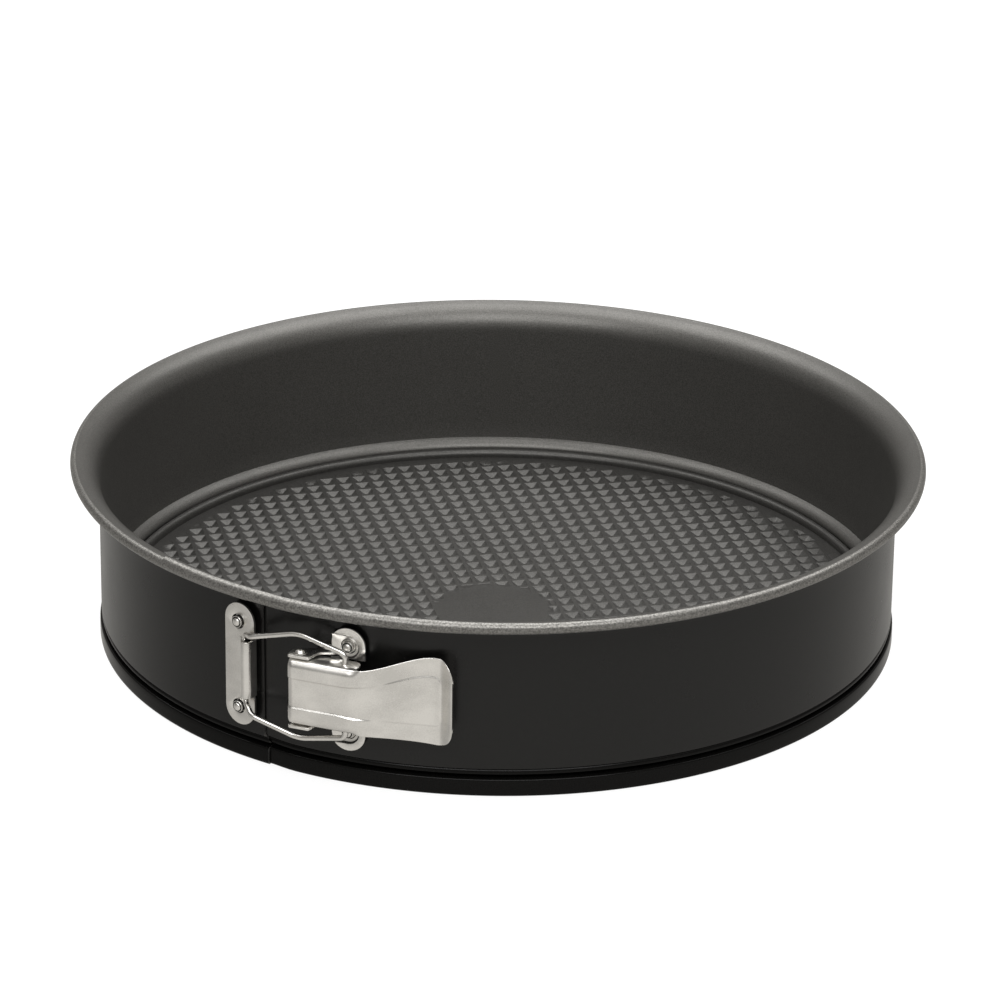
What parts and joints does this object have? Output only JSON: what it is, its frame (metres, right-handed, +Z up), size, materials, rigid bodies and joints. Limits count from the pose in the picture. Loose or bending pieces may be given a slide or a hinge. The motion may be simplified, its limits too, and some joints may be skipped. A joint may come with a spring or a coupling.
{
  "type": "springform pan",
  "caption": "Round springform baking pan: flared band with rolled rim, loose base, and an over-centre lever buckle with a wire bail.",
  "frame": {"origin": "on the pan's axis at the level of its foot, so the pan stands on z = 0", "axes": "+Z up along the pan's axis; -Y towards the buckle side, whose lever is a little to -X of it"},
  "size_m": [0.3008, 0.3008, 0.0667],
  "materials": {
    "coated_band": "dark grey non-stick coating, satin, with a fine speckle",
    "coated_base": "dark grey non-stick coating, matt",
    "stainless": "satin stamped stainless steel",
    "wire": "bright drawn stainless wire"
  },
  "bodies": {
    "base": {"base_plate": "coated_base"},
    "band_back": {"band_back": "coated_band"},
    "band_side_right": {"band_side_right": "coated_band"},
    "band_front_right": {"band_front_right": "coated_band", "hinge_plate": "stainless", "hinge_rivet_upper": "stainless", "hinge_rivet_lower": "stainless", "lever_pin": "stainless"},
    "band_side_left": {"band_side_left": "coated_band"},
    "band_front_left": {"band_front_left": "coated_band", "catch_plate": "stainless", "catch_rivet_upper": "stainless", "catch_rivet_lower": "stainless"},
    "lever": {"lever": "stainless"},
    "wire_bail": {"wire_bail": "wire"}
  },
  "joints": [
    {"name": "band_release", "type": "slide", "parent": "base", "child": "band_back", "axis": [0.6756, 0.7373, 0], "range_m": [0, 0.00315]},
    {"name": "flex_right_rear", "type": "hinge", "parent": "band_back", "child": "band_side_right", "pos_m": [0.14831, 0.02615, 0.0353], "axis": [0, 0, 1], "range_deg": [0, 1.47]},
    {"name": "flex_right_front", "type": "hinge", "parent": "band_side_right", "child": "band_front_right", "pos_m": [0.06365, -0.13649, 0.0353], "axis": [0, 0, 1], "range_deg": [0, 1.47]},
    {"name": "flex_left_rear", "type": "hinge", "parent": "band_back", "child": "band_side_left", "pos_m": [0.01313, 0.15003, 0.0353], "axis": [0, 0, -1], "range_deg": [0, 1.47]},
    {"name": "flex_left_front", "type": "hinge", "parent": "band_side_left", "child": "band_front_left", "pos_m": [-0.14152, 0.05151, 0.0353], "axis": [0, 0, -1], "range_deg": [0, 1.47]},
    {"name": "lever_swing", "type": "hinge", "parent": "band_front_right", "child": "lever", "pos_m": [-0.06426, -0.13365, 0.0353], "axis": [0, 0, -1], "range_deg": [0, 130]},
    {"name": "wire_swing", "type": "hinge", "parent": "band_front_left", "child": "wire_bail", "pos_m": [-0.08326, -0.11815, 0.0353], "axis": [0, 0, -1], "range_deg": [0, 23.66]}
  ],
  "couplings": [
    {"joint": "band_release", "follows": "lever_swing", "m_per_rad": 0.0013769},
    {"joint": "flex_right_rear", "follows": "lever_swing", "ratio": 0.0113},
    {"joint": "flex_right_front", "follows": "lever_swing", "ratio": 0.0113},
    {"joint": "flex_left_rear", "follows": "lever_swing", "ratio": 0.0113},
    {"joint": "flex_left_front", "follows": "lever_swing", "ratio": 0.0113},
    {"joint": "wire_swing", "follows": "lever_swing", "ratio": 0.18193}
  ]
}
